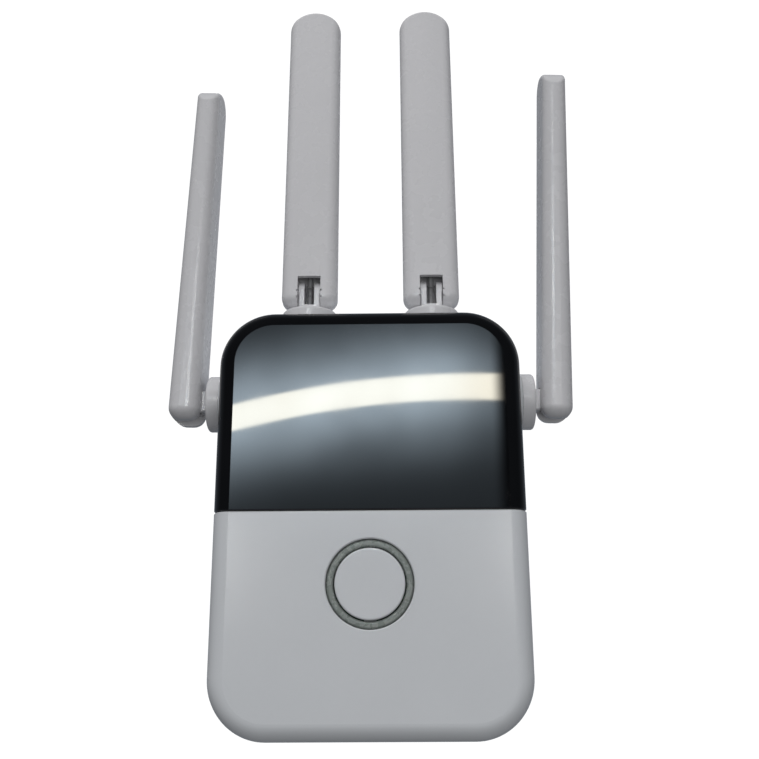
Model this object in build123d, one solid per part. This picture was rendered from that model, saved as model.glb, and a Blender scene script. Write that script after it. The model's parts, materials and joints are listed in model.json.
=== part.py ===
from build123d import *
import os
from math import cos, radians, sin

# A plug-in wireless range extender, in millimetres.
# +X is to the right seen from the front, +Z is up, and +Y points at the wall that it plugs into.
# The origin is the middle of the plug nose's end face, between the two round pins.

# ---------------------------------------------------------------- driving dimensions
CASE_W, CASE_H, CASE_D = 76.0, 103.7, 31.0  # outer size of the case, without nose and antennas
CORNER_R = 14.0  # corners of the case seen from the front
FRONT_D = 9.0  # how deep the two front covers reach
FRONT_EDGE_R = 4.2  # rounding of the covers' front edge
BACK_EDGE_R = 5.0  # rounding of the rear shell's back edge
WALL = 2.0
DRAFT = 1.2  # mould draft of the rear shell, in degrees
STEP_IN = 0.25  # the rear shell stands this far inside the covers' outline
SEAM_HEIGHT = 52.4  # from the underside to the seam between the two covers
SEAM_GAP = 0.16

NOSE_L, NOSE_W, NOSE_H = 14.0, 35.3, 13.7  # flat oval plug nose
PLUG_HEIGHT = 42.0  # from the underside to the plug's middle
PIN_PITCH = 18.6
PIN_R, PIN_L, PIN_SLEEVE_L = 2.0, 19.0, 10.0
PIN_CORE_R, PIN_SLEEVE_R = 1.4, 1.75
SLEEVE_SEAT = 3.0  # how far each sleeve is sunk in the nose

BUTTON_HEIGHT = 35.15  # from the underside to the button's middle
RING_HOLE_R, RING_R, RING_IN_R, BUTTON_R = 10.5, 10.3, 8.62, 8.35
RING_RECESS, RING_EDGE_R = 0.35, 0.5

ANTENNA_Y = 17.2  # from the front face to the antennas' swivel axes
TOP_X = 16.6  # the top antennas' distance from the middle
SIDE_HEIGHT = 83.3  # from the underside to the side antennas' axes
PAD_H, FLARE_R = 1.4, 10.2  # the fixed flared pad that each swivel stands on
SEAT_DEPTH = 4.6  # from the pad's face to the inner end of the swivel's bore
COLLAR_R, COLLAR_H, COLLAR_EDGE_R = 7.4, 3.5, 0.8
KNUCKLE_W, KNUCKLE_R, STEM_BACK, EAR_GAP = 5.9, 3.0, 2.5, 2.7
HINGE_Z = 9.55  # from the pad to the fold hinge
PIVOT_R, PIVOT_L = 1.3, 0.9
NECK_R, NECK_CLEAR, NECK_END = 4.0, 0.06, 6.8
LEAD_R, LEAD_END = 0.65, 8.6

BLADE_W, BLADE_FOOT_T, BLADE_TIP_T = 15.2, 8.6, 6.8
BLADE_CROWN = 0.6  # how far each face bulges
BLADE_FOOT, BLADE_TIP = 5.05, 93.3  # from the fold hinge to each end
BLADE_MID = -0.35  # from the hinge back to the blade's middle
FOOT_R = 3.1  # rounding of the foot's end
SLOT_W, SLOT_TOP, SLOT_DEPTH = 6.2, 3.25, 3.15

# ---------------------------------------------------------------- places worked out from them
Y_BACK = -NOSE_L
Y_FRONT = Y_BACK - CASE_D
Y_PART = Y_FRONT + FRONT_D  # parting plane between the covers and the rear shell
Z_LOW = -PLUG_HEIGHT
Z_HIGH = Z_LOW + CASE_H
Z_MID = (Z_LOW + Z_HIGH) / 2
Z_SEAM = Z_LOW + SEAM_HEIGHT
Z_BUTTON = Z_LOW + BUTTON_HEIGHT
Y_AXIS = Y_FRONT + ANTENNA_Y
Z_SIDE = Z_LOW + SIDE_HEIGHT

BOARD_T = 1.6
Y_BOARD = Y_PART + 0.4  # front face of the main board
Y_BOARD_BACK = Y_BOARD + BOARD_T
Y_POWER_BACK = Y_BACK - WALL - 2.0  # back face of the power board
Y_POWER = Y_POWER_BACK - BOARD_T  # front face of the power board
CASE_POSTS = [(sx * 30.5, z) for sx in (-1, 1) for z in (Z_LOW + 10.5, Z_HIGH - 10.5)]
BOARD_POSTS = [(sx * 28.0, z) for sx in (-1, 1) for z in (Z_LOW + 19.0, Z_HIGH - 19.0)]

# Each antenna: name, swivel pad centre, outward axis, fold hinge axis, swivel and fold angles as set.
# A fold of 0 stands the blade straight out of its swivel, and 90 folds it towards its slotted face.
ANTENNAS = [
    ("top_left", (-TOP_X, Y_AXIS, Z_HIGH + PAD_H), (0, 0, 1), (1, 0, 0), 0.0, -4.0),
    ("top_right", (TOP_X, Y_AXIS, Z_HIGH + PAD_H), (0, 0, 1), (1, 0, 0), 0.0, -4.0),
    ("side_left", (-CASE_W / 2 - PAD_H, Y_AXIS, Z_SIDE), (-1, 0, 0), (0, 1, 0), 0.0, 91.5),
    ("side_right", (CASE_W / 2 + PAD_H, Y_AXIS, Z_SIDE), (1, 0, 0), (0, -1, 0), 5.0, 88.2),
]


# ---------------------------------------------------------------- helpers
def facing_front(y, x=0.0, z=0.0):
    """A sketch plane at that Y, with sketch X to the right and sketch Y up."""
    return Plane(origin=(x, y, z), x_dir=(1, 0, 0), z_dir=(0, -1, 0))


def slab(width, height, y_front, y_back, corner):
    """A rounded rectangle seen from the front, centred on the case, between two depths."""
    return extrude(facing_front(y_back, z=Z_MID) * RectangleRounded(width, height, corner), y_back - y_front)


def rod_y(radius, y_front, y_back, x=0.0, z=0.0):
    return extrude(facing_front(y_back, x, z) * Circle(radius), y_back - y_front)


def rod_z(radius, z_low, z_high, x=0.0, y=0.0):
    return Pos(x, y, z_low) * extrude(Circle(radius), z_high - z_low)


def rod_x(radius, x_low, x_high, y=0.0, z=0.0):
    return Pos(x_low, y, z) * extrude(Plane.YZ * Circle(radius), x_high - x_low)


def turned(*outline):
    """A solid of revolution about Z, from joined curves in its half section."""
    return revolve(Plane.XZ * make_face(Curve() + list(outline)), Axis.Z)


def block(x, y, z):
    """A box from three (low, high) pairs."""
    size = [b - a for a, b in (x, y, z)]
    return Pos(*[(a + b) / 2 for a, b in (x, y, z)]) * Box(*size)


def oval(width, height, y_front, y_back):
    """A flat oval seen from the front, centred on the plug."""
    return extrude(facing_front(y_back) * SlotOverall(width, height), y_back - y_front)


# ---------------------------------------------------------------- case
def front_covers():
    """The glossy upper panel and the plain lower cover, cut from one rounded front."""
    outer = slab(CASE_W, CASE_H, Y_FRONT, Y_PART, CORNER_R)
    outer = fillet(outer.edges().group_by(Axis.Y)[0], FRONT_EDGE_R)
    inner = slab(CASE_W - 2 * WALL, CASE_H - 2 * WALL, Y_FRONT + WALL, Y_PART, CORNER_R - WALL)
    inner = fillet(inner.edges().group_by(Axis.Y)[0], FRONT_EDGE_R - WALL)
    front = outer - inner
    for x, z in CASE_POSTS:
        front += rod_y(3.0, Y_FRONT + WALL / 2, Y_PART - 0.2, x, z)
        front -= rod_y(1.05, Y_FRONT + 2 * WALL, Y_PART, x, z)
    for x, z in BOARD_POSTS:
        front += rod_y(2.6, Y_FRONT + WALL / 2, Y_BOARD, x, z)
        front -= rod_y(0.95, Y_FRONT + 2 * WALL, Y_BOARD, x, z)
    wide = (-CASE_W, CASE_W)
    deep = (Y_FRONT - 1, Y_PART + 1)
    upper = front & block(wide, deep, (Z_SEAM + SEAM_GAP / 2, Z_HIGH + 1))
    lower = front & block(wide, deep, (Z_LOW - 1, Z_SEAM - SEAM_GAP / 2))
    return break_seam_edge(upper, -1), button_hole(break_seam_edge(lower, 1))


def break_seam_edge(cover, side):
    """Chamfers the cover's outer edge along the seam. side is 1 if the seam is at its top."""
    z = Z_SEAM - side * SEAM_GAP / 2
    boxes = [(e, e.bounding_box()) for e in cover.edges()]
    at_seam = [e for e, box in boxes if abs(box.min.Z - z) + abs(box.max.Z - z) < 0.01]
    inside_x, inside_y = CASE_W / 2 - WALL + 0.1, Y_FRONT + WALL - 0.1
    outer = [e for e in at_seam if abs(e.center().X) > inside_x or e.center().Y < inside_y]
    outer = [e for e in outer if e.length > 1.0 and abs(e.center().Y - Y_PART) > 0.01]
    wall_ends = [e for e in outer if abs(e.tangent_at(0.5).X) > 0.99 and abs(e.center().X) > inside_x]
    return chamfer([e for e in outer if e not in wall_ends], 0.3)


def button_hole(cover):
    cover -= rod_y(RING_HOLE_R, Y_FRONT - 1, Y_FRONT + WALL + 0.5, 0, Z_BUTTON)
    rim = cover.edges().filter_by(GeomType.CIRCLE)
    rim = [e for e in rim if abs(e.radius - RING_HOLE_R) < 0.01 and abs(e.center().Y - Y_FRONT) < 0.01]
    return chamfer(rim, 0.3)


def rear_shell():
    back_plane = Plane(origin=(0, Y_PART, Z_MID), x_dir=(-1, 0, 0), z_dir=(0, 1, 0))
    width, height = CASE_W - 2 * STEP_IN, CASE_H - 2 * STEP_IN
    depth = Y_BACK - Y_PART
    outer = extrude(back_plane * RectangleRounded(width, height, CORNER_R - STEP_IN), depth, taper=DRAFT)
    outer = fillet(outer.edges().group_by(Axis.Y)[-1], BACK_EDGE_R)
    inner_sketch = RectangleRounded(width - 2 * WALL, height - 2 * WALL, CORNER_R - STEP_IN - WALL)
    inner = extrude(back_plane * inner_sketch, depth - WALL, taper=DRAFT)
    inner = fillet(inner.edges().group_by(Axis.Y)[-1], BACK_EDGE_R - WALL)
    shell = outer - inner + locating_lip()
    for x, z in CASE_POSTS:
        shell += rod_y(3.2, Y_PART, Y_BACK - WALL / 2, x, z)
        shell -= rod_y(1.5, Y_PART - 1, Y_BACK + 1, x, z)
        shell -= rod_y(2.7, Y_BACK - 10.0, Y_BACK + 1, x, z)
    for antenna in ANTENNAS:
        shell = antenna_seat(shell, antenna)
    shell -= oval(NOSE_W + 0.2, NOSE_H + 0.2, Y_BACK - 3 * WALL, Y_BACK + 1)
    shell -= lan_opening()
    shell -= rod_z(1.0, Z_LOW - 1, Z_LOW + WALL + 1, RESET_X, RESET_Y)
    shell -= rod_z(1.6, Z_LOW - 1, Z_LOW + 0.9, RESET_X, RESET_Y)
    return shell - vents()


def locating_lip():
    """The tongue round the rear shell's mouth that the covers slip over."""
    clear = 0.12
    inset = WALL + clear
    width, height, corner = CASE_W - 2 * inset, CASE_H - 2 * inset, CORNER_R - inset
    y_front, y_back, thick = Y_PART - 1.4, Y_PART + 3.0, 0.9
    tongue = slab(width, height, y_front, y_back, corner)
    return tongue - slab(width - 2 * thick, height - 2 * thick, y_front, y_back, corner - thick)


def antenna_seat(shell, antenna):
    """Adds the pad, the inner boss and the bore that a swivel turns in."""
    place = swivel_place(antenna, swivel=0.0)
    top_r, low = COLLAR_R + 0.2, -PAD_H - 0.8
    pad = turned(
        Polyline((top_r, 0), (0, 0), (0, low), (FLARE_R, low), (FLARE_R, -PAD_H)),
        ThreePointArc((FLARE_R, -PAD_H), (top_r + 0.8, -PAD_H + 0.45), (top_r, 0)),
    )
    pad += rod_z(6.5, -SEAT_DEPTH, -PAD_H)
    behind_parting = block((-CASE_W, CASE_W), (Y_PART, Y_BACK), (Z_LOW - 20, Z_HIGH + 20))
    return shell + ((place * pad) & behind_parting) - place * rod_z(NECK_R + NECK_CLEAR, -NECK_END, 1)


def vents():
    """Cooling slots: one column in each side, and two groups in the back."""
    slots = []
    for n in range(9):
        z = Z_LOW + 16.0 + 4.0 * n
        slots.append(block((-CASE_W, CASE_W), (Y_PART + 5.0, Y_PART + 15.5), (z, z + 1.6)))
    rows = [Z_LOW + 10.0 + 3.6 * n for n in range(5)] + [Z_HIGH - 14.0 + 3.6 * n for n in range(2)]
    for z in rows:
        bar = Pos(0, 0, z) * (facing_front(Y_BACK + 1) * SlotOverall(32.0, 1.6))
        slots.append(extrude(bar, 2 * WALL))
    return slots


# ---------------------------------------------------------------- plug
def plug_nose():
    nose = oval(NOSE_W, NOSE_H, Y_BACK - WALL, 0)
    nose = fillet(nose.edges().group_by(Axis.Y)[-1], 0.9)
    nose += oval(NOSE_W + 5.0, NOSE_H + 5.0, Y_BACK - WALL - 1.4, Y_BACK - WALL)
    for side in (-1, 1):
        nose -= rod_y(PIN_CORE_R, Y_BACK - 10, 1, side * PIN_PITCH / 2)
        nose -= rod_y(PIN_SLEEVE_R, -SLEEVE_SEAT, 1, side * PIN_PITCH / 2)
    return nose


def plug_pin(side):
    x = side * PIN_PITCH / 2
    tip = rod_y(PIN_R, PIN_SLEEVE_L, PIN_L, x)
    tip = fillet(tip.edges().group_by(Axis.Y)[-1], 1.2)
    return rod_y(PIN_CORE_R, Y_POWER - 1.0, PIN_SLEEVE_L, x) + tip


def pin_sleeve(side):
    x = side * PIN_PITCH / 2
    sleeve = rod_y(PIN_SLEEVE_R, -SLEEVE_SEAT, PIN_SLEEVE_L, x)
    return sleeve - rod_y(PIN_CORE_R, -SLEEVE_SEAT, PIN_SLEEVE_L, x)


# ---------------------------------------------------------------- button and light ring
RING_BACK = Y_FRONT + 3.6
LUG_FRONT, LUG_BACK = RING_BACK + 0.15, RING_BACK + 1.0
TACT_H, TACT_TIP_H, TACT_TIP_R = 3.3, 1.2, 1.7
Y_TACT_TIP = Y_BOARD - TACT_H - TACT_TIP_H


def light_ring():
    ring = rod_y(RING_R, Y_FRONT + RING_RECESS, RING_BACK, 0, Z_BUTTON)
    ring -= rod_y(RING_IN_R, Y_FRONT, RING_BACK, 0, Z_BUTTON)
    ring = fillet(ring.edges().group_by(Axis.Y)[0], RING_EDGE_R)
    flange = rod_y(RING_R + 1.8, Y_FRONT + WALL, Y_FRONT + WALL + 0.9, 0, Z_BUTTON)
    return ring + (flange - rod_y(RING_IN_R, Y_FRONT, RING_BACK, 0, Z_BUTTON))


def wps_button():
    """The round cap, its skirt with three retaining lugs, and the stem that works the switch."""
    cap = rod_y(BUTTON_R, Y_FRONT, LUG_BACK, 0, Z_BUTTON)
    cap = fillet(cap.edges().group_by(Axis.Y)[0], 0.45)
    cap -= rod_y(BUTTON_R - 1.2, Y_FRONT + 1.8, LUG_BACK, 0, Z_BUTTON)
    cap += rod_y(1.8, Y_FRONT + 1.5, Y_TACT_TIP, 0, Z_BUTTON)
    for n in range(3):
        lug = block((BUTTON_R - 0.6, BUTTON_R + 1.2), (LUG_FRONT, LUG_BACK), (-1.5, 1.5))
        cap += Pos(0, 0, Z_BUTTON) * Rotation(0, 90 + 120 * n, 0) * lug
    return cap


def tact_switch():
    y_top = Y_BOARD - TACT_H
    body = block((-3, 3), (y_top, Y_BOARD), (Z_BUTTON - 3, Z_BUTTON + 3))
    body -= rod_y(TACT_TIP_R + 0.08, y_top, y_top + 1.5, 0, Z_BUTTON)
    for x in (-3.6, 3.6):
        for z in (Z_BUTTON - 2.2, Z_BUTTON + 2.2):
            body += block((x - 0.6, x + 0.6), (Y_BOARD - 0.3, Y_BOARD), (z - 0.4, z + 0.4))
    return body


def tact_plunger():
    return rod_y(TACT_TIP_R, Y_TACT_TIP, Y_BOARD - TACT_H + 0.7, 0, Z_BUTTON)


def ring_leds():
    """Six small lamps behind the light ring."""
    radius, half = (RING_R + RING_IN_R) / 2, 0.8
    lamps = []
    for n in range(6):
        a = radians(30 + 60 * n)
        x, z = radius * cos(a), Z_BUTTON + radius * sin(a)
        lamps.append(block((x - half, x + half), (Y_BOARD - 0.8, Y_BOARD), (z - half, z + half)))
    return Compound(lamps)


# ---------------------------------------------------------------- main board
LAN_W, LAN_T, LAN_L = 16.0, 13.4, 15.5
LAN_Y = (Y_BOARD_BACK, Y_BOARD_BACK + LAN_T)
LAN_Z = (Z_LOW + 0.6, Z_LOW + 0.6 + LAN_L)
RESET_X, RESET_Y = 17.0, Y_BOARD_BACK + 2.2
RESET_Z = Z_LOW + 4.2  # the reset plunger's lower end
TOP_LEAD_Z, SIDE_LEAD_X, SIDE_LEAD_Z = Z_HIGH - 27.0, 22.0, Z_HIGH - 36.0
LEAD_Y = Y_BOARD_BACK + 0.8


def main_board():
    body = block((-32, 32), (Y_BOARD, Y_BOARD_BACK), (Z_LOW + 15, Z_HIGH - 15))
    body += block((-22, 22), (Y_BOARD, Y_BOARD_BACK), (Z_LOW + 3.5, Z_LOW + 15))
    for x, z in BOARD_POSTS:
        body -= rod_y(1.15, Y_BOARD - 1, Y_BOARD_BACK + 1, x, z)
    return body


def board_screws():
    """Four pan-head screws through the main board into the covers' posts."""
    screws = []
    for x, z in BOARD_POSTS:
        head = rod_y(1.9, Y_BOARD_BACK, Y_BOARD_BACK + 1.3, x, z)
        head = fillet(head.edges().group_by(Axis.Y)[-1], 0.5)
        head -= cross_recess(0.5, Y_BOARD_BACK + 0.5, Y_BOARD_BACK + 2, x, z)
        screws.append(head + rod_y(0.9, Y_FRONT + 2 * WALL + 1, Y_BOARD_BACK, x, z))
    return Compound(screws)


def cross_recess(width, y_front, y_back, x, z):
    arm = 2.6 * width
    upright = block((x - width / 2, x + width / 2), (y_front, y_back), (z - arm, z + arm))
    return upright + block((x - arm, x + arm), (y_front, y_back), (z - width / 2, z + width / 2))


def rf_shield():
    """The folded screening can over the radio chips, with its row of holes."""
    can = block((-14, 14), (Y_BOARD - 2.6, Y_BOARD), (Z_SEAM + 8, Z_SEAM + 30))
    can = fillet(can.edges().group_by(Axis.Y)[0], 0.6)
    can -= block((-13.8, 13.8), (Y_BOARD - 2.4, Y_BOARD), (Z_SEAM + 8.2, Z_SEAM + 29.8))
    for n in range(5):
        can -= rod_y(0.7, Y_BOARD - 3, Y_BOARD - 2, -10 + 5 * n, Z_SEAM + 27)
    return can


def heatsink():
    """A finned aluminium block glued to the can."""
    y_back, fins = Y_BOARD - 2.6, 7
    sink = block((-10, 10), (y_back - 1.0, y_back), (Z_SEAM + 10, Z_SEAM + 25))
    for n in range(fins):
        x = -10 + n * 19.2 / (fins - 1)
        sink += block((x, x + 0.8), (y_back - 3.8, y_back - 1.0), (Z_SEAM + 10, Z_SEAM + 25))
    return sink


def board_chips():
    """Processor, memory and flash on the front, network magnetics on the back."""
    chips = [
        block((-5, 5), (Y_BOARD - 1.0, Y_BOARD), (Z_SEAM + 14, Z_SEAM + 24)),
        block((-26, -18), (Y_BOARD - 1.0, Y_BOARD), (Z_SEAM + 12, Z_SEAM + 24)),
        block((18, 23), (Y_BOARD - 1.5, Y_BOARD), (Z_SEAM + 16, Z_SEAM + 22)),
        block((-21, -12), (Y_BOARD_BACK, Y_BOARD_BACK + 4.5), (Z_LOW + 16, Z_LOW + 22)),
    ]
    return Compound(chips)


def rf_connectors():
    """Four miniature coaxial plugs that the antenna leads end in."""
    tops = [(side * TOP_X, TOP_LEAD_Z) for side in (-1, 1)]
    sides = [(side * SIDE_LEAD_X, SIDE_LEAD_Z) for side in (-1, 1)]
    y = (Y_BOARD_BACK, Y_BOARD_BACK + 1.7)
    return Compound([block((x - 1.5, x + 1.5), y, (z - 3.2, z)) for x, z in tops + sides])


def lan_opening():
    margin = 0.2
    x = (-LAN_W / 2 - margin, LAN_W / 2 + margin)
    y = (LAN_Y[0] - margin, LAN_Y[1] + margin)
    return block(x, y, (Z_LOW - 1, Z_LOW + 2 * WALL))


def lan_jack():
    """The eight-way network socket, its mouth in the underside."""
    jack = block((-LAN_W / 2, LAN_W / 2), LAN_Y, LAN_Z)
    mouth = (LAN_Z[0] - 1, LAN_Z[0] + 12.5)
    jack -= block((-5.95, 5.95), (LAN_Y[0] + 2.2, LAN_Y[0] + 9.1), mouth)
    jack -= block((-3.1, 3.1), (LAN_Y[0] + 9.1, LAN_Y[0] + 11.6), mouth)
    return jack


def lan_contacts():
    """Eight sprung contact wires, slanting up from the socket's mouth."""
    y, z, pitch = LAN_Y[0] + 2.2, LAN_Z[0] + 3.0, 1.02
    outline = [(y, z), (y + 0.35, z), (y + 1.9, z + 8.5), (y + 1.5, z + 8.5), (y, z + 0.4)]
    slant = make_face(Polyline(*outline, close=True))
    wire = extrude(Plane.YZ * slant, 0.36)
    return Compound([Pos(pitch * (n - 3.5) - 0.18, 0, 0) * wire for n in range(8)])


def reset_switch():
    z_low = RESET_Z + 1.0
    body = block((RESET_X - 2.2, RESET_X + 2.2), (Y_BOARD_BACK, Y_BOARD_BACK + 3.6), (z_low, z_low + 4.0))
    return body - rod_z(0.88, z_low, z_low + 1.4, RESET_X, RESET_Y)


def reset_plunger():
    return rod_z(0.8, RESET_Z, RESET_Z + 2.0, RESET_X, RESET_Y)


# ---------------------------------------------------------------- power board
def power_board():
    board = block((-24, 24), (Y_POWER, Y_POWER_BACK), (-22, 28))
    for side in (-1, 1):
        board -= rod_y(PIN_CORE_R, Y_POWER - 1, Y_POWER_BACK + 1, side * PIN_PITCH / 2)
    return board


TRAFO = (12.0, 16.0)  # x and z of the transformer's middle


def transformer_core():
    """The ferrite double E, with a window on each side of its middle leg."""
    x, z = TRAFO
    y = (Y_POWER - 8.6, Y_POWER - 3.4)
    core = block((x - 8, x + 8), y, (z - 7, z + 7))
    for side in (-1, 1):
        core -= block((x + side * 4.1 - 1.9, x + side * 4.1 + 1.9), y, (z - 5, z + 5))
    return core


def transformer_winding():
    """The taped winding round the middle leg, and the bobbin foot on the board."""
    x, z = TRAFO
    coil = block((x - 5.9, x + 5.9), (Y_POWER - 11.5, Y_POWER - 0.8), (z - 4.9, z + 4.9))
    coil -= block((x - 2.2, x + 2.2), (Y_POWER - 8.6, Y_POWER - 3.4), (z - 7, z + 7))
    return coil + block((x - 5.9, x + 5.9), (Y_POWER - 0.8, Y_POWER), (z - 6.5, z + 6.5))


def can_capacitor(radius, height, x, z):
    can = rod_y(radius, Y_POWER - height, Y_POWER, x, z)
    return fillet(can.edges().group_by(Axis.Y)[0], 0.5)


def bulk_capacitors():
    return Compound([can_capacitor(4.0, 11.5, x, z) for x, z in ((-17, 21), (-17, 11))])


def output_capacitors():
    return Compound([can_capacitor(3.15, 9.5, x, z) for x, z in ((8, -14), (17, -12))])


def fuse():
    body = block((-21, -13), (Y_POWER - 7.5, Y_POWER), (-7, -3))
    return fillet(body.edges().filter_by(Axis.Y), 0.8)


def dc_header():
    """The strip that carries low voltage from the power board to the main board."""
    return block((-22, -12), (Y_BOARD_BACK, Y_POWER), (-18.2, -15.6))


# ---------------------------------------------------------------- fasteners and label
def case_screws():
    """Four screws, sunk in the rear shell's deep holes, into the covers' posts."""
    seat = Y_BACK - 10.0
    screws = []
    for x, z in CASE_POSTS:
        head = rod_y(2.4, seat, seat + 1.8, x, z)
        head = fillet(head.edges().group_by(Axis.Y)[-1], 0.7)
        head -= cross_recess(0.7, seat + 0.8, seat + 3, x, z)
        screws.append(head + rod_y(1.0, Y_FRONT + 2 * WALL + 1, seat, x, z))
    return Compound(screws)


def rating_label():
    return extrude(facing_front(Y_BACK + 0.12, z=26.0) * RectangleRounded(40, 22, 1.5), 0.12)


# ---------------------------------------------------------------- antennas
# A swivel is modelled on its pad, with Z outwards and X along the fold hinge.
# A blade is modelled on its hinge, with Z to the tip and its slotted face towards -Y.
def swivel_place(antenna, swivel=None):
    _, centre, outward, hinge, set_swivel, _ = antenna
    turn = set_swivel if swivel is None else swivel
    return Plane(origin=centre, x_dir=hinge, z_dir=outward).location * Rotation(0, 0, turn)


def blade_place(antenna):
    return swivel_place(antenna) * Pos(0, 0, HINGE_Z) * Rotation(antenna[5], 0, 0)


CLIP_Z = (-SEAT_DEPTH - 1.05, -SEAT_DEPTH - 0.15)


def swivel_knuckle():
    """The rounded collar, the fork that holds the blade, its short pivots, and the grooved neck."""
    collar = rod_z(COLLAR_R, 0.1, COLLAR_H)
    collar = fillet(collar.edges().group_by(Axis.Z)[-1], COLLAR_EDGE_R)
    half = KNUCKLE_W / 2
    stem = block((-half, half), (-KNUCKLE_R, STEM_BACK), (COLLAR_H - 1.5, HINGE_Z))
    stem = chamfer(stem.edges().filter_by(Axis.Z), 0.3)
    stem += rod_x(KNUCKLE_R, -half, half, z=HINGE_Z)
    stem += rod_x(PIVOT_R, -half - PIVOT_L, half + PIVOT_L, z=HINGE_Z)
    gap = block((-EAR_GAP / 2, EAR_GAP / 2), (-COLLAR_R, COLLAR_R), (COLLAR_H + 1.8, HINGE_Z + 5))
    neck = rod_z(NECK_R, -NECK_END, 0.2) - (rod_z(NECK_R + 1, *CLIP_Z) - rod_z(3.2, *CLIP_Z))
    return collar + (stem - gap) + neck - rod_z(1.2, -NECK_END - 1, COLLAR_H + 3)


def swivel_clip():
    """The open ring, sprung into the neck's groove, that keeps the swivel in the case."""
    low, high = CLIP_Z
    ring = rod_z(5.8, low, high) - rod_z(3.25, low, high)
    return ring - block((-2.6, 2.6), (0, 8), (low, high))


def antenna_shell():
    """The hollow blade: an oval section that thins to a domed tip, slotted at its rounded foot."""
    body = blade_loft(0.0, -BLADE_FOOT, BLADE_TIP)
    body = fillet(body.faces().sort_by(Axis.Z)[0].edges(), FOOT_R) & face_outline()
    tip = body.faces().sort_by(Axis.Z)[-1]
    body = fillet(tip.edges(), 1.1)
    body -= blade_loft(1.3, 3.0, BLADE_TIP - 7.5)
    half = SLOT_W / 2
    body -= block((-half, half), (-BLADE_W, SLOT_DEPTH), (-BLADE_FOOT - 1, SLOT_TOP))
    for side in (-1, 1):
        for z in (-2.85, -0.95):
            x = side * (half + 0.1)
            body -= block((x - 0.25, x + 0.25), (-BLADE_W, -3.6), (z - 0.3, z + 0.3))
    pivot_end = KNUCKLE_W / 2 + PIVOT_L + 0.1
    return body - rod_x(PIVOT_R + 0.05, -pivot_end, pivot_end)


def blade_loft(inset, z_low, z_high):
    """The blade's tapering section between two heights, inset all round."""
    sections = []
    for z in (z_low, z_high):
        share = (z + BLADE_FOOT) / (BLADE_TIP + BLADE_FOOT)
        thick = BLADE_FOOT_T + (BLADE_TIP_T - BLADE_FOOT_T) * share - 2 * inset
        sections.append(Pos(0, BLADE_MID, z) * blade_section(BLADE_W - 2 * inset, thick))
    return loft(sections, ruled=True)


def blade_section(width, thick):
    """A flat oval: crowned faces, straight sides and rounded corners."""
    x, y = width / 2, thick / 2 - BLADE_CROWN
    front = ThreePointArc((-x, -y), (0, -thick / 2), (x, -y))
    back = ThreePointArc((x, y), (0, thick / 2), (-x, y))
    section = make_face(Curve() + [front, Line((x, -y), (x, y)), back, Line((-x, y), (-x, -y))])
    return fillet(section.vertices(), 0.38 * thick)


def face_outline():
    """The blade's outline seen face on, with its domed tip."""
    dome_w, dome_h = 7.9, 7.2
    base = BLADE_TIP - dome_h
    straight = Pos(0, base - BLADE_TIP / 2) * Rectangle(2 * dome_w, BLADE_TIP)
    return extrude(Plane.XZ * (straight + Pos(0, base) * Ellipse(dome_w, dome_h)), 20, both=True)


def antenna_element():
    """The printed aerial strip inside the blade."""
    return block((-2.6, 2.6), (BLADE_MID - 0.4, BLADE_MID + 0.4), (13, 84))


def antenna_lead():
    """The coaxial lead from just past the hinge to the strip."""
    return rod_z(LEAD_R, 1.2, 13.0, y=BLADE_MID)


def swivel_lead():
    """The coaxial lead's stretch along the swivel's bore."""
    return rod_z(LEAD_R, -LEAD_END, HINGE_Z - 1.2)


def board_lead(antenna):
    """The coaxial lead from the swivel to its plug on the main board."""
    _, centre, outward, _, _, _ = antenna
    start = Vector(*centre) - Vector(*outward) * LEAD_END
    if outward[2]:
        route = [
            start,
            (start.X, Y_AXIS, Z_HIGH - 13.5),
            (start.X, LEAD_Y, Z_HIGH - 20.5),
            (start.X, LEAD_Y, TOP_LEAD_Z),
        ]
    else:
        side = outward[0]
        route = [
            start,
            (side * 25.0, Y_AXIS, Z_SIDE),
            (side * SIDE_LEAD_X, LEAD_Y, Z_SIDE - 8.3),
            (side * SIDE_LEAD_X, LEAD_Y, SIDE_LEAD_Z),
        ]
    path = FilletPolyline(*route, radius=3.0)
    profile = Plane(origin=start, z_dir=path % 0) * Circle(LEAD_R)
    return sweep(profile, path=path)


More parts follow.
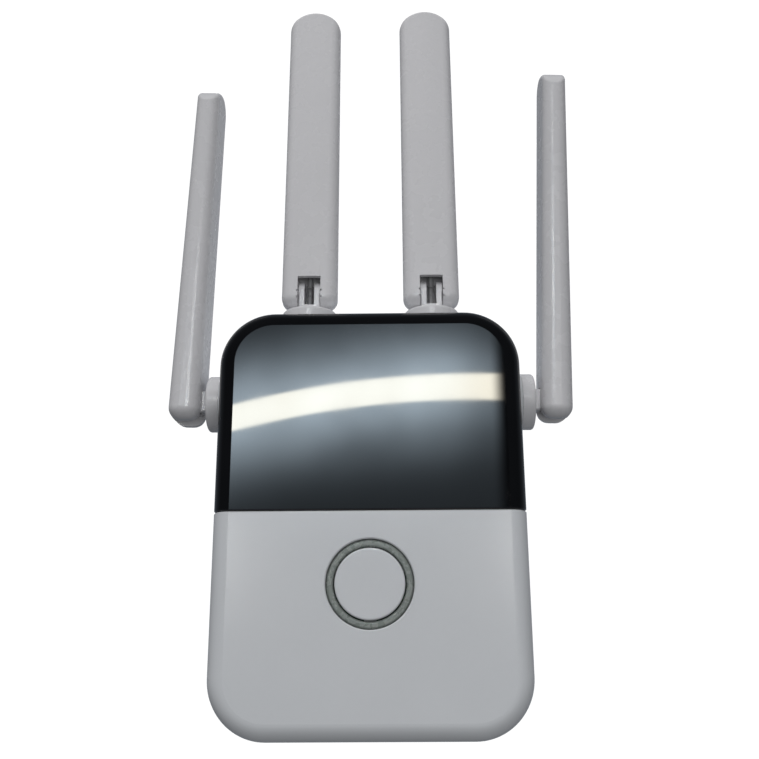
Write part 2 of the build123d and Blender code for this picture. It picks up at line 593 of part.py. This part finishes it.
# ---------------------------------------------------------------- all nodes
def all_nodes():
    upper_panel, lower_cover = front_covers()
    nodes = {
        "upper_front_panel": upper_panel,
        "lower_front_cover": lower_cover,
        "rear_shell": rear_shell(),
        "light_ring": light_ring(),
        "wps_button": wps_button(),
        "tact_plunger": tact_plunger(),
        "tact_switch": tact_switch(),
        "ring_leds": ring_leds(),
        "main_board": main_board(),
        "board_screws": board_screws(),
        "rf_shield": rf_shield(),
        "heatsink": heatsink(),
        "board_chips": board_chips(),
        "rf_connectors": rf_connectors(),
        "lan_jack": lan_jack(),
        "lan_contacts": lan_contacts(),
        "reset_switch": reset_switch(),
        "reset_plunger": reset_plunger(),
        "power_board": power_board(),
        "transformer_core": transformer_core(),
        "transformer_winding": transformer_winding(),
        "bulk_capacitors": bulk_capacitors(),
        "output_capacitors": output_capacitors(),
        "fuse": fuse(),
        "dc_header": dc_header(),
        "plug_nose": plug_nose(),
        "plug_pin_left": plug_pin(-1),
        "plug_pin_right": plug_pin(1),
        "plug_pin_sleeves": Compound([pin_sleeve(-1), pin_sleeve(1)]),
        "case_screws": case_screws(),
        "rating_label": rating_label(),
    }
    knuckle, clip, shell = swivel_knuckle(), swivel_clip(), antenna_shell()
    for antenna in ANTENNAS:
        name, swivel, blade = antenna[0], swivel_place(antenna), blade_place(antenna)
        nodes[f"{name}_swivel_knuckle"] = swivel * knuckle
        nodes[f"{name}_swivel_clip"] = swivel * clip
        nodes[f"{name}_swivel_lead"] = swivel * swivel_lead()
        nodes[f"{name}_antenna_shell"] = blade * shell
        nodes[f"{name}_antenna_element"] = blade * antenna_element()
        nodes[f"{name}_antenna_lead"] = blade * antenna_lead()
        nodes[f"{name}_board_lead"] = board_lead(antenna)
    return nodes


os.makedirs("parts", exist_ok=True)
for node_name, node_shape in all_nodes().items():
    export_step(node_shape, f"parts/{node_name}.step")
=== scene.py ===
import json
import math

import bmesh
import bpy
from mathutils import Matrix, Vector


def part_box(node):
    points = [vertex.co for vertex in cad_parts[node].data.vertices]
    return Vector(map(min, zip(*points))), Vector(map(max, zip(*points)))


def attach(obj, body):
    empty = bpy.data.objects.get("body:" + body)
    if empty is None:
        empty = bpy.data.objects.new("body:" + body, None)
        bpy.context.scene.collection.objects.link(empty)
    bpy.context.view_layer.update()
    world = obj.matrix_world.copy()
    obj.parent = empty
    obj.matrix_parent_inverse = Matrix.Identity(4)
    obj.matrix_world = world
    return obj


# A plug-in wireless range extender seen from the front and a little below.
# Everything is in metres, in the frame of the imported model: +X right, +Y to the wall, +Z up.

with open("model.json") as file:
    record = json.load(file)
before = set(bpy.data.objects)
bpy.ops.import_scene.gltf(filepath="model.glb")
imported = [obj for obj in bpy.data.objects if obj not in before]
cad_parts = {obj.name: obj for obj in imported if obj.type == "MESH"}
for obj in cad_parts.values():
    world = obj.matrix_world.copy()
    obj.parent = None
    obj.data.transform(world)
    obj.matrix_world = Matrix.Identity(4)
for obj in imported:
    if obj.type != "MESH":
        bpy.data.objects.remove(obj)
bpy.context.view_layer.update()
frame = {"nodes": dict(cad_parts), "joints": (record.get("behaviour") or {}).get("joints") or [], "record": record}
MM = 0.001

# ---------------------------------------------------------------- places read from the frame
PANEL_LOW, PANEL_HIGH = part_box("upper_front_panel")
COVER_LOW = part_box("lower_front_cover")[0]
SHELL_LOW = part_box("rear_shell")[0]
FRONT_Y = PANEL_LOW.y
CASE_MID_X = (PANEL_LOW.x + PANEL_HIGH.x) / 2
FOLDS = {
    joint["name"].removesuffix("_fold"): joint
    for joint in frame["joints"]
    if joint["name"].endswith("_fold")
}


# ---------------------------------------------------------------- material helpers
class Shader:
    """A material with one Principled shader, and short calls for the nodes that feed it."""

    def __init__(self, name, **constants):
        self.material = bpy.data.materials.new(name)
        self.material.use_nodes = True
        self.tree = self.material.node_tree
        self.principled = self.tree.nodes["Principled BSDF"]
        self.set(**constants)
        self.bump = None

    def set(self, **constants):
        for key, value in constants.items():
            socket = key.replace("_", " ").title().replace("Ior", "IOR")
            self.principled.inputs[socket].default_value = value

    def node(self, kind, **settings):
        made = self.tree.nodes.new(kind)
        for key, value in settings.items():
            if key in made.inputs:
                made.inputs[key].default_value = value
            else:
                setattr(made, key, value)
        return made

    def place(self):
        """The point's place in the object's own coordinates, which is the row frame at rest."""
        return self.node("ShaderNodeTexCoord").outputs["Object"]

    def noise(self, size, detail=2.0, stretch=(1, 1, 1), roughness=0.5):
        """Noise whose blotches are about that many metres across."""
        spread = self.node("ShaderNodeMapping")
        spread.inputs["Scale"].default_value = [s / size for s in stretch]
        noise = self.node("ShaderNodeTexNoise", Scale=1.0, Detail=detail, Roughness=roughness)
        self.link(self.place(), spread.inputs["Vector"])
        self.link(spread.outputs["Vector"], noise.inputs["Vector"])
        return noise.outputs["Fac"]

    def link(self, a, b):
        self.tree.links.new(a, b)

    def ramp(self, value, stops):
        ramp = self.node("ShaderNodeValToRGB")
        while len(ramp.color_ramp.elements) < len(stops):
            ramp.color_ramp.elements.new(0.5)
        for element, (at, colour) in zip(ramp.color_ramp.elements, stops):
            element.position = at
            element.color = (*colour, 1) if len(colour) == 3 else colour
        self.link(value, ramp.inputs["Fac"])
        return ramp.outputs["Color"]

    def colour(self, value, dark, light, low=0.3, high=0.7):
        self.link(self.ramp(value, [(low, dark), (high, light)]), self.principled.inputs["Base Color"])

    def roughness(self, value, low, high):
        spread = self.node("ShaderNodeMapRange")
        spread.inputs["From Min"].default_value = 0.3
        spread.inputs["From Max"].default_value = 0.7
        spread.inputs["To Min"].default_value = low
        spread.inputs["To Max"].default_value = high
        self.link(value, spread.inputs["Value"])
        self.link(spread.outputs["Result"], self.principled.inputs["Roughness"])

    def relief(self, value, depth, strength=1.0):
        """Adds relief of that depth, in metres, on top of any that is there already."""
        bump = self.node("ShaderNodeBump", Strength=strength, Distance=depth)
        self.link(value, bump.inputs["Height"])
        if self.bump:
            self.link(self.bump, bump.inputs["Normal"])
        self.bump = bump.outputs["Normal"]
        self.link(self.bump, self.principled.inputs["Normal"])


def moulded_plastic(name, dark, light, grain=0.35 * MM, rough=(0.17, 0.21), relief=0.002 * MM):
    """Moulded plastic: a very fine grain, faint tone drift and an uneven satin sheen."""
    shader = Shader(name, ior=1.5)
    shader.colour(shader.noise(16 * MM, 3.0), dark, light)
    shader.roughness(shader.noise(5 * MM, 3.0), *rough)
    shader.relief(shader.noise(grain, 2.0), relief)
    shader.relief(shader.noise(30 * MM, 1.0), 0.03 * MM, 0.4)
    return shader.material


def black_gloss():
    """Polished black panel: almost a mirror, with faint moulding waves, haze and finger smears."""
    shader = Shader("black_gloss", ior=1.5)
    shader.colour(shader.noise(20 * MM, 2.0), (0.0028, 0.0030, 0.0036), (0.0042, 0.0044, 0.0052))
    shader.roughness(shader.noise(7 * MM, 4.0, stretch=(1, 1, 0.6)), 0.018, 0.035)
    shader.relief(shader.noise(24 * MM, 1.0), 0.012 * MM, 0.5)
    return shader.material


def light_guide():
    """Milky grey-green plastic that spreads the lamps' light round the ring."""
    shader = Shader("light_guide", ior=1.49, transmission_weight=0.12)
    shader.colour(shader.noise(3 * MM, 2.0), (0.205, 0.228, 0.213), (0.217, 0.240, 0.225))
    shader.roughness(shader.noise(1.5 * MM, 2.0), 0.22, 0.34)
    shader.relief(shader.noise(0.6 * MM, 2.0), 0.01 * MM)
    return shader.material


def metal(name, dark, light, rough=(0.22, 0.38), brushed=(1, 1, 1), size=0.6 * MM):
    shader = Shader(name, metallic=1.0)
    shader.colour(shader.noise(size, 3.0, stretch=brushed), dark, light)
    shader.roughness(shader.noise(size, 3.0, stretch=brushed), *rough)
    shader.relief(shader.noise(size / 2, 2.0, stretch=brushed), 0.004 * MM)
    return shader.material


def board_laminate():
    """Green solder mask with darker copper planes showing through in blocks."""
    shader = Shader("board_laminate", ior=1.5)
    cells = shader.node("ShaderNodeTexVoronoi", Scale=260.0, distance="MANHATTAN")
    shader.link(shader.place(), cells.inputs["Vector"])
    shader.colour(cells.outputs["Distance"], (0.010, 0.075, 0.030), (0.018, 0.125, 0.050), 0.1, 0.5)
    shader.roughness(shader.noise(2 * MM, 2.0), 0.25, 0.4)
    shader.relief(cells.outputs["Distance"], 0.03 * MM)
    return shader.material


def lamp_resin():
    shader = Shader("lamp_resin", ior=1.5, transmission_weight=0.3)
    shader.colour(shader.noise(0.5 * MM), (0.65, 0.62, 0.45), (0.85, 0.82, 0.66))
    shader.roughness(shader.noise(0.4 * MM), 0.15, 0.3)
    return shader.material


WHITE = ((0.586, 0.604, 0.625), (0.598, 0.616, 0.637))
ANTENNA_WHITE = ((0.590, 0.588, 0.604), (0.602, 0.600, 0.616))
BLACK = ((0.012, 0.012, 0.013), (0.022, 0.022, 0.024))

MATERIALS = {
    "black_gloss": black_gloss(),
    "white_plastic": moulded_plastic("white_plastic", *WHITE),
    "shell_plastic": moulded_plastic("shell_plastic", *WHITE, grain=0.5 * MM, rough=(0.3, 0.4)),
    "antenna_plastic": moulded_plastic(
        "antenna_plastic", *ANTENNA_WHITE, grain=0.3 * MM, rough=(0.24, 0.30)),
    "light_guide": light_guide(),
    "button_plastic": moulded_plastic("button_plastic", *WHITE, grain=0.3 * MM),
    "dark_plastic": moulded_plastic("dark_plastic", *BLACK),
    "switch_metal": metal("switch_metal", (0.45, 0.45, 0.46), (0.62, 0.62, 0.63), brushed=(1, 1, 8)),
    "lamp": lamp_resin(),
    "board_laminate": board_laminate(),
    "screw_steel": metal("screw_steel", (0.42, 0.42, 0.43), (0.60, 0.60, 0.60)),
    "tin_plate": metal(
        "tin_plate", (0.55, 0.55, 0.56), (0.70, 0.70, 0.70), brushed=(6, 1, 1), size=2 * MM),
    "aluminium": metal("aluminium", (0.60, 0.60, 0.62), (0.76, 0.76, 0.78), brushed=(1, 1, 8)),
    "chip_resin": moulded_plastic("chip_resin", *BLACK, grain=0.2 * MM, rough=(0.5, 0.65)),
    "brass_gold": metal("brass_gold", (0.62, 0.45, 0.18), (0.80, 0.62, 0.28)),
    "ferrite": moulded_plastic(
        "ferrite", (0.030, 0.030, 0.032), (0.055, 0.055, 0.058), rough=(0.45, 0.7)),
    "winding_tape": moulded_plastic(
        "winding_tape", (0.62, 0.46, 0.05), (0.72, 0.55, 0.08), rough=(0.2, 0.35)),
    "capacitor_can": moulded_plastic(
        "capacitor_can", (0.010, 0.014, 0.040), (0.016, 0.022, 0.060), rough=(0.2, 0.3)),
    "pin_plating": metal(
        "pin_plating", (0.60, 0.59, 0.57), (0.74, 0.73, 0.71), (0.12, 0.24), (1, 6, 1), MM),
    "sleeve_plastic": moulded_plastic("sleeve_plastic", *BLACK, rough=(0.25, 0.38)),
    "nose_plastic": moulded_plastic("nose_plastic", *WHITE, grain=0.4 * MM),
    "label_film": moulded_plastic(
        "label_film", (0.46, 0.47, 0.48), (0.50, 0.51, 0.52), rough=(0.3, 0.42)),
    "spring_steel": metal("spring_steel", (0.40, 0.40, 0.42), (0.58, 0.58, 0.60)),
    "cable_jacket": moulded_plastic(
        "cable_jacket", (0.20, 0.20, 0.205), (0.27, 0.27, 0.275), rough=(0.3, 0.45)),
    "fuse_body": moulded_plastic("fuse_body", (0.10, 0.06, 0.03), (0.14, 0.09, 0.05)),
}


def wear(obj, slot):
    """Gives a piece the material of one of the record's slots."""
    obj.data.materials.clear()
    obj.data.materials.append(MATERIALS[slot])


for part in frame["record"]["subparts"]:
    wear(frame["nodes"][part["node"]], part["material_slot"])


# ---------------------------------------------------------------- leads across the fold hinges
LATHE_STEPS = 32


def lathe(name, start, tip, profile, body, slot):
    """A closed solid of revolution from start to tip. profile lists (share of the way, radius)."""
    mesh = bpy.data.meshes.new(name)
    shape = bmesh.new()
    length = (tip - start).length
    turn = (tip - start).to_track_quat("Z", "Y").to_matrix().to_4x4()
    around = [2 * math.pi * n / LATHE_STEPS for n in range(LATHE_STEPS)]
    rings = []
    for share, radius in profile:
        ring = [(radius * math.cos(a), radius * math.sin(a), share * length) for a in around]
        rings.append([shape.verts.new(point) for point in ring])
    for low, high in zip(rings, rings[1:]):
        for n in range(LATHE_STEPS):
            shape.faces.new((low[n - 1], low[n], high[n], high[n - 1]))
    shape.faces.new(reversed(rings[0]))
    shape.faces.new(rings[-1])
    for face in shape.faces:
        face.smooth = True
    shape.transform(Matrix.Translation(start) @ turn)
    shape.to_mesh(mesh)
    shape.free()
    piece = bpy.data.objects.new(name, mesh)
    bpy.context.scene.collection.objects.link(piece)
    mesh.materials.append(MATERIALS[slot])
    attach(piece, body)


def end_near(node, point):
    """The middle and radius of a straight rod's end face, at whichever end is nearer to the point."""
    corners = [vertex.co for vertex in frame["nodes"][node].data.vertices]
    nearest = sorted(corners, key=lambda co: (co - point).length)[:len(corners) // 2]
    middle = sum(nearest, Vector()) / len(nearest)
    return middle, max((co - middle).length for co in nearest)


def lead_bends():
    """Carries each coaxial lead round its fold hinge: one half on the swivel, one on the blade."""
    for antenna, joint in FOLDS.items():
        hinge = Vector(joint["pos_m"])
        for part, body in (("swivel_lead", "swivel"), ("antenna_lead", "blade")):
            start, radius = end_near(f"{antenna}_{part}", hinge)
            tip = hinge + (hinge - start).normalized() * radius
            straight = (hinge - start).length / (tip - start).length
            dome = [
                (straight + (1 - straight) * math.sin(a), radius * math.cos(a))
                for a in [math.radians(15 * n) for n in range(1, 6)]
            ]
            profile = [(0, radius), (straight, radius), *dome]
            lathe(f"{antenna}_{body}_lead_bend", start, tip, profile, f"{antenna}_{body}", "cable_jacket")


lead_bends()


# ---------------------------------------------------------------- stage
def emitter(name, colour, strength):
    material = bpy.data.materials.new(name)
    material.use_nodes = True
    tree = material.node_tree
    tree.nodes.clear()
    glow = tree.nodes.new("ShaderNodeEmission")
    glow.inputs["Color"].default_value = (*colour, 1)
    glow.inputs["Strength"].default_value = strength
    out = tree.nodes.new("ShaderNodeOutputMaterial")
    tree.links.new(glow.outputs["Emission"], out.inputs["Surface"])
    material.cycles.emission_sampling = "NONE"
    return material


def stage_mesh(name, build, material):
    mesh = bpy.data.meshes.new(name)
    shape = bmesh.new()
    build(shape)
    shape.to_mesh(mesh)
    shape.free()
    obj = bpy.data.objects.new(name, mesh)
    bpy.context.scene.collection.objects.link(obj)
    mesh.materials.append(material)
    return obj


def seen_by(obj, camera=False, diffuse=False, glossy=False):
    obj.visible_camera = camera
    obj.visible_diffuse = diffuse
    obj.visible_glossy = glossy
    obj.visible_transmission = glossy
    obj.visible_volume_scatter = False
    obj.visible_shadow = False


ROOM_R, STUDIO_R = 3.0, 2.7
WHITE_GLOW = 1.05  # just past white, so that floor and background run together
STUDIO_FRONT, STUDIO_BACK = 0.05, 0.3  # strengths before and behind the object
STUDIO_FRONT_Y = -0.3 * STUDIO_R  # where it starts to brighten
FLOOR_DROP = 0.25


def white_surround():
    """The seamless white background, which only the camera sees."""
    room = stage_mesh(
        "surround",
        lambda shape: bmesh.ops.create_icosphere(shape, subdivisions=4, radius=ROOM_R),
        emitter("surround_white", (1, 1, 1), WHITE_GLOW),
    )
    seen_by(room, camera=True)


def dark_surround():
    """What the gloss reflects where no light stands: a studio that is dim in front and brighter behind."""
    material = emitter("studio_dark", (0.85, 0.95, 1.1), STUDIO_FRONT)
    tree = material.node_tree
    coordinates = tree.nodes.new("ShaderNodeTexCoord")
    parts = tree.nodes.new("ShaderNodeSeparateXYZ")
    depth = tree.nodes.new("ShaderNodeMapRange")
    depth.inputs["From Min"].default_value = STUDIO_FRONT_Y
    depth.inputs["From Max"].default_value = STUDIO_R
    depth.inputs["To Min"].default_value = STUDIO_FRONT
    depth.inputs["To Max"].default_value = STUDIO_BACK
    tree.links.new(coordinates.outputs["Object"], parts.inputs["Vector"])
    tree.links.new(parts.outputs["Y"], depth.inputs["Value"])
    tree.links.new(depth.outputs["Result"], tree.nodes["Emission"].inputs["Strength"])
    room = stage_mesh(
        "studio_dark",
        lambda shape: bmesh.ops.create_icosphere(shape, subdivisions=4, radius=STUDIO_R),
        material,
    )
    seen_by(room, glossy=True)


def pale_floor():
    material = bpy.data.materials.new("pale_floor")
    material.use_nodes = True
    principled = material.node_tree.nodes["Principled BSDF"]
    principled.inputs["Base Color"].default_value = (0.85, 0.85, 0.85, 1)
    principled.inputs["Roughness"].default_value = 0.8
    principled.inputs["Emission Color"].default_value = (1, 1, 1, 1)
    principled.inputs["Emission Strength"].default_value = WHITE_GLOW
    material.cycles.emission_sampling = "NONE"
    floor = stage_mesh(
        "floor",
        lambda shape: bmesh.ops.create_circle(
            shape, cap_ends=True, segments=96, radius=ROOM_R * 0.98),
        material,
    )
    floor.location = (0, 0, SHELL_LOW.z - FLOOR_DROP)
    seen_by(floor, camera=True)


# The long curved lamp that the black panel mirrors hangs in front of it, behind the camera.
# Its places are given on the panel, as the camera sees them there, and LAMP_SPREAD scales them up.
CAMERA_OUT = 225.9 * MM  # from the front face
CAMERA_UP = 18.9 * MM  # above the case's underside
CAMERA_RIGHT = 5.16 * MM
CAMERA_AT = Vector((CASE_MID_X + CAMERA_RIGHT, FRONT_Y - CAMERA_OUT, COVER_LOW.z + CAMERA_UP))
LAMP_DISTANCE = 0.9
LAMP_SPREAD = LAMP_DISTANCE / CAMERA_OUT
LAMP_TOP_X = 24 * MM  # where the lamp's arc is highest
LAMP_TOP_Z = PANEL_HIGH.z - 20.8 * MM
LAMP_BEND = 2.25  # drop per square metre away from there
LAMP_HALF = 3.4 * MM
GLOW_REACH = 12.5 * MM
LAMP_SOFT = 4 * MM  # over which its ends fade
LAMP_FADE_X, LAMP_FADE = 24 * MM, 18 * MM  # the glow is weaker to the right of here
LAMP_LEFT, LAMP_RIGHT = PANEL_LOW.x + 2.5 * MM, PANEL_HIGH.x - 6.3 * MM
LAMP_MARGIN = 6 * MM
MIRROR = 0.042  # share of the light that the panel reflects
CORE, CORE_COLOUR = 0.68 / MIRROR, (1.02, 0.93, 0.73)
GLOW, HAZE, GLOW_COLOUR = 0.38 / MIRROR, 0.018 / MIRROR, (0.81, 0.98, 1.12)


def mirrored(x, z):
    """Where the lamp card needs a point so that the camera sees it mirrored at that place on the panel."""
    return Vector((
        x + LAMP_SPREAD * (x - CAMERA_AT.x),
        FRONT_Y - LAMP_DISTANCE,
        z + LAMP_SPREAD * (z - CAMERA_AT.z),
    ))


def lamp_material():
    """A bright arc with a soft bluish glow on both sides, painted in the card's own coordinates."""
    material = bpy.data.materials.new("lamp_card")
    material.use_nodes = True
    tree = material.node_tree
    tree.nodes.clear()

    def math_node(operation, *values):
        made = tree.nodes.new("ShaderNodeMath")
        made.operation = operation
        for socket, value in zip(made.inputs, values):
            if isinstance(value, (int, float)):
                socket.default_value = value
            else:
                tree.links.new(value, socket)
        return made.outputs[0]

    def product(first, *others):
        for other in others:
            first = math_node("MULTIPLY", first, other)
        return first

    def step(value, at, width):
        """0 below that value and 1 above it, over a soft width."""
        made = tree.nodes.new("ShaderNodeMapRange")
        made.interpolation_type = "SMOOTHSTEP"
        made.inputs["From Min"].default_value = at - width / 2
        made.inputs["From Max"].default_value = at + width / 2
        tree.links.new(value, made.inputs["Value"])
        return made.outputs["Result"]

    coordinates = tree.nodes.new("ShaderNodeTexCoord")
    parts = tree.nodes.new("ShaderNodeSeparateXYZ")
    tree.links.new(coordinates.outputs["Object"], parts.inputs["Vector"])
    across, up = parts.outputs["X"], parts.outputs["Z"]
    away = math_node("SUBTRACT", across, LAMP_TOP_X)
    arc = math_node("MULTIPLY_ADD", product(away, away), -LAMP_BEND, LAMP_TOP_Z)
    off = math_node("ABSOLUTE", math_node("SUBTRACT", up, arc))
    reach = math_node("DIVIDE", off, GLOW_REACH)
    glow = math_node("EXPONENT", product(reach, reach, -1.0))
    right_end = math_node("SUBTRACT", 1.0, step(across, LAMP_RIGHT, LAMP_SOFT))
    ends = product(step(across, LAMP_LEFT, LAMP_SOFT), right_end)
    fade = math_node("MULTIPLY_ADD", step(across, LAMP_FADE_X, LAMP_FADE), -0.6, 1.0)
    core = math_node("SUBTRACT", 1.0, step(off, LAMP_HALF, 1.0 * MM))

    patches = tree.nodes.new("ShaderNodeTexNoise")
    patches.inputs["Scale"].default_value = 55.0
    patches.inputs["Detail"].default_value = 1.5
    tree.links.new(coordinates.outputs["Object"], patches.inputs["Vector"])
    uneven = math_node("MULTIPLY_ADD", patches.outputs["Fac"], 0.9, 0.55)

    def emission(colour, strength):
        made = tree.nodes.new("ShaderNodeEmission")
        made.inputs["Color"].default_value = (*colour, 1)
        tree.links.new(strength, made.inputs["Strength"])
        return made.outputs["Emission"]

    faint = math_node("ADD", product(glow, fade, uneven, GLOW), HAZE)
    lost = math_node("MULTIPLY_ADD", fade, -0.3, 1.3)  # what the core needs more where the glow fades
    total = tree.nodes.new("ShaderNodeAddShader")
    tree.links.new(emission(GLOW_COLOUR, product(faint, ends)), total.inputs[0])
    tree.links.new(emission(CORE_COLOUR, product(core, lost, ends, CORE)), total.inputs[1])
    out = tree.nodes.new("ShaderNodeOutputMaterial")
    tree.links.new(total.outputs["Shader"], out.inputs["Surface"])
    material.cycles.emission_sampling = "NONE"
    return material


def lamp_card():
    """The card is modelled at the panel's own size, then scaled up about the camera's mirror line."""
    left, right, top = LAMP_LEFT - LAMP_MARGIN, LAMP_RIGHT + LAMP_MARGIN, PANEL_HIGH.z + LAMP_MARGIN

    def sheet(shape):
        corners = [(left, PANEL_LOW.z), (right, PANEL_LOW.z), (right, top), (left, top)]
        shape.faces.new([shape.verts.new((x, 0, z)) for x, z in corners])

    card = stage_mesh("lamp_card", sheet, lamp_material())
    card.location = mirrored(0, 0)
    card.scale = (1 + LAMP_SPREAD, 1, 1 + LAMP_SPREAD)
    seen_by(card, glossy=True)


GLINT_STRENGTH = 14.0
GLINTS = (  # name, middle, size
    ("glint_top", (0.0, -0.94, 0.42), (0.10, 0.06)),
    ("glint_left", (-0.232, -0.94, 0.10), (0.06, 0.10)),
    ("glint_right", (0.19, -0.94, 0.11), (0.055, 0.10)),
)


def glint(name, at, size):
    """A small bright upright card that only gloss sees, for the crisp lines on the round collars."""
    width, height = size

    def sheet(shape):
        corners = [(-1, -1), (1, -1), (1, 1), (-1, 1)]
        shape.faces.new([shape.verts.new((x * width / 2, 0, z * height / 2)) for x, z in corners])

    card = stage_mesh(name, sheet, emitter(name, (1.0, 0.99, 0.96), GLINT_STRENGTH))
    card.location = at
    seen_by(card, glossy=True)


LIGHTS = (  # name, place, what it points at, size, power, colour
    ("key", (-0.3, -0.7, 1.25), (0, 0, 0.06), (1.0, 0.7), 11.4, (1.0, 1.0, 1.0)),
    ("fill", (0.15, -1.08, -0.17), (0, 0, 0.03), (0.8, 0.5), 4.1, (0.98, 0.99, 1.0)),
    ("rear", (0.4, 1.1, 0.7), (0, 0, 0.06), (1.3, 1.0), 16.0, (1.0, 1.0, 1.0)),
)
SKY = ((0.25, 0.06), (0.5, 0.14), (0.75, 0.24))  # (height, level), from straight down at 0 to up at 1
SKY_LOW, SKY_HIGH = 0.02, (0.3, 0.3, 0.305)


def soft_light(name, at, towards, size, power, colour):
    data = bpy.data.lights.new(name, "AREA")
    data.shape = "RECTANGLE"
    data.size, data.size_y = size
    data.energy = power
    data.color = colour
    lamp = bpy.data.objects.new(name, data)
    bpy.context.scene.collection.objects.link(lamp)
    lamp.location = at
    lamp.rotation_mode = "QUATERNION"
    lamp.rotation_quaternion = (Vector(towards) - Vector(at)).to_track_quat("-Z", "Y")
    lamp.visible_camera = False
    lamp.visible_glossy = False


def sky():
    """Soft light from all round, weaker from below."""
    world = bpy.data.worlds.new("soft_studio")
    bpy.context.scene.world = world
    world.use_nodes = True
    tree = world.node_tree
    coordinates = tree.nodes.new("ShaderNodeTexCoord")
    parts = tree.nodes.new("ShaderNodeSeparateXYZ")
    height = tree.nodes.new("ShaderNodeMapRange")
    height.inputs["From Min"].default_value = -1.0
    ramp = tree.nodes.new("ShaderNodeValToRGB")
    for at, level in SKY:
        element = ramp.color_ramp.elements.new(at)
        element.color = (level, level, level * 1.02, 1)
    ramp.color_ramp.elements[0].color = (SKY_LOW, SKY_LOW, SKY_LOW, 1)
    ramp.color_ramp.elements[-1].color = (*SKY_HIGH, 1)
    background = tree.nodes["Background"]
    tree.links.new(coordinates.outputs["Generated"], parts.inputs["Vector"])
    tree.links.new(parts.outputs["Z"], height.inputs["Value"])
    tree.links.new(height.outputs["Result"], ramp.inputs["Fac"])
    tree.links.new(ramp.outputs["Color"], background.inputs["Color"])


# ---------------------------------------------------------------- camera
CAMERA_PITCH, CAMERA_YAW, CAMERA_ROLL = 0.2842, -0.0116, -0.0056
CAMERA_LENS = 44.87


def camera():
    data = bpy.data.cameras.new("camera")
    data.lens = CAMERA_LENS
    data.sensor_width = 36.0
    data.clip_start, data.clip_end = 0.01, 20.0
    eye = bpy.data.objects.new("camera", data)
    bpy.context.scene.collection.objects.link(eye)
    level = Matrix.Rotation(math.pi / 2 + CAMERA_PITCH, 4, "X")
    turned = Matrix.Rotation(-CAMERA_YAW, 4, "Z") @ level
    eye.matrix_world = Matrix.Translation(CAMERA_AT) @ turned @ Matrix.Rotation(CAMERA_ROLL, 4, "Z")
    bpy.context.scene.camera = eye


white_surround()
dark_surround()
pale_floor()
lamp_card()
sky()
for card in GLINTS:
    glint(*card)
for light in LIGHTS:
    soft_light(*light)
camera()
bpy.context.scene.view_settings.view_transform = "Standard"
